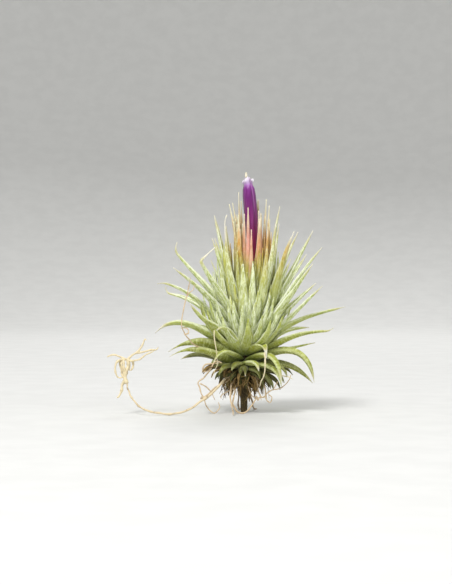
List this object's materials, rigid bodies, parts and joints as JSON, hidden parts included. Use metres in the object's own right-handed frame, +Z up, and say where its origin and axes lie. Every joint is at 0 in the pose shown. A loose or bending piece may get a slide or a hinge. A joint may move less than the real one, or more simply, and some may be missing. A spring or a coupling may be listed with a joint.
{
  "type": "hazelnut ionantha air plant",
  "caption": "Small air plant in flower: a rosette of tapering silvery leaves on a short stem, a violet tubular flower and wiry roots.",
  "frame": {"origin": "centre of the cut end of the stem, on the surface that the plant rests on", "axes": "+Z up along the stem, +X to the right and +Y away from the viewer of the picture"},
  "size_m": [0.0896, 0.0501, 0.0905],
  "materials": {
    "silver_green_leaf": "silvery green leaf covered in fine pale scales, matt",
    "deep_green_leaf": "older leaf, darker green underneath, matt",
    "blushed_leaf": "inner leaf blushed yellow, orange and pink for the flowering, matt",
    "violet_petal": "violet petal, satin, with a pale lilac tip",
    "cream_flower_parts": "cream pistil and stamens, matt",
    "woody_stem": "dark woody stem, matt",
    "wiry_root": "dry wiry root, tan to cream, matt"
  },
  "bodies": {
    "root": {"stem": "woody_stem", "leaf_low_01": "deep_green_leaf", "leaf_low_02": "deep_green_leaf", "leaf_low_03": "deep_green_leaf", "leaf_low_04": "deep_green_leaf", "leaf_low_05": "deep_green_leaf", "leaf_low_06": "deep_green_leaf", "leaf_low_07": "deep_green_leaf", "leaf_low_08": "deep_green_leaf", "leaf_low_09": "deep_green_leaf", "leaf_low_10": "deep_green_leaf", "leaf_spreading_01": "silver_green_leaf", "leaf_spreading_02": "silver_green_leaf", "leaf_spreading_03": "silver_green_leaf", "leaf_spreading_04": "silver_green_leaf", "leaf_spreading_05": "silver_green_leaf", "leaf_spreading_06": "silver_green_leaf", "leaf_spreading_07": "silver_green_leaf", "leaf_spreading_08": "silver_green_leaf", "leaf_spreading_09": "silver_green_leaf", "leaf_spreading_10": "silver_green_leaf", "leaf_spreading_11": "silver_green_leaf", "leaf_spreading_12": "silver_green_leaf", "leaf_rising_01": "silver_green_leaf", "leaf_rising_02": "silver_green_leaf", "leaf_rising_03": "silver_green_leaf", "leaf_rising_04": "silver_green_leaf", "leaf_rising_05": "silver_green_leaf", "leaf_rising_06": "silver_green_leaf", "leaf_rising_07": "silver_green_leaf", "leaf_rising_08": "silver_green_leaf", "leaf_rising_09": "silver_green_leaf", "leaf_rising_10": "silver_green_leaf", "leaf_rising_11": "silver_green_leaf", "leaf_erect_01": "silver_green_leaf", "leaf_erect_02": "silver_green_leaf", "leaf_erect_03": "silver_green_leaf", "leaf_erect_04": "silver_green_leaf", "leaf_erect_05": "silver_green_leaf", "leaf_erect_06": "silver_green_leaf", "leaf_erect_07": "silver_green_leaf", "leaf_erect_08": "silver_green_leaf", "leaf_heart_01": "blushed_leaf", "leaf_heart_02": "blushed_leaf", "leaf_heart_03": "blushed_leaf", "leaf_heart_04": "blushed_leaf", "petal_1": "violet_petal", "petal_2": "violet_petal", "petal_3": "violet_petal", "pistil": "cream_flower_parts", "stamens": "cream_flower_parts", "long_root": "wiry_root", "root_tangle": "wiry_root", "climbing_root": "wiry_root", "root_cluster_left": "wiry_root", "root_front": "wiry_root", "root_loop_front": "wiry_root", "root_cluster_right": "wiry_root", "root_back_left": "wiry_root", "root_back_right": "wiry_root"}
  },
  "joints": []
}
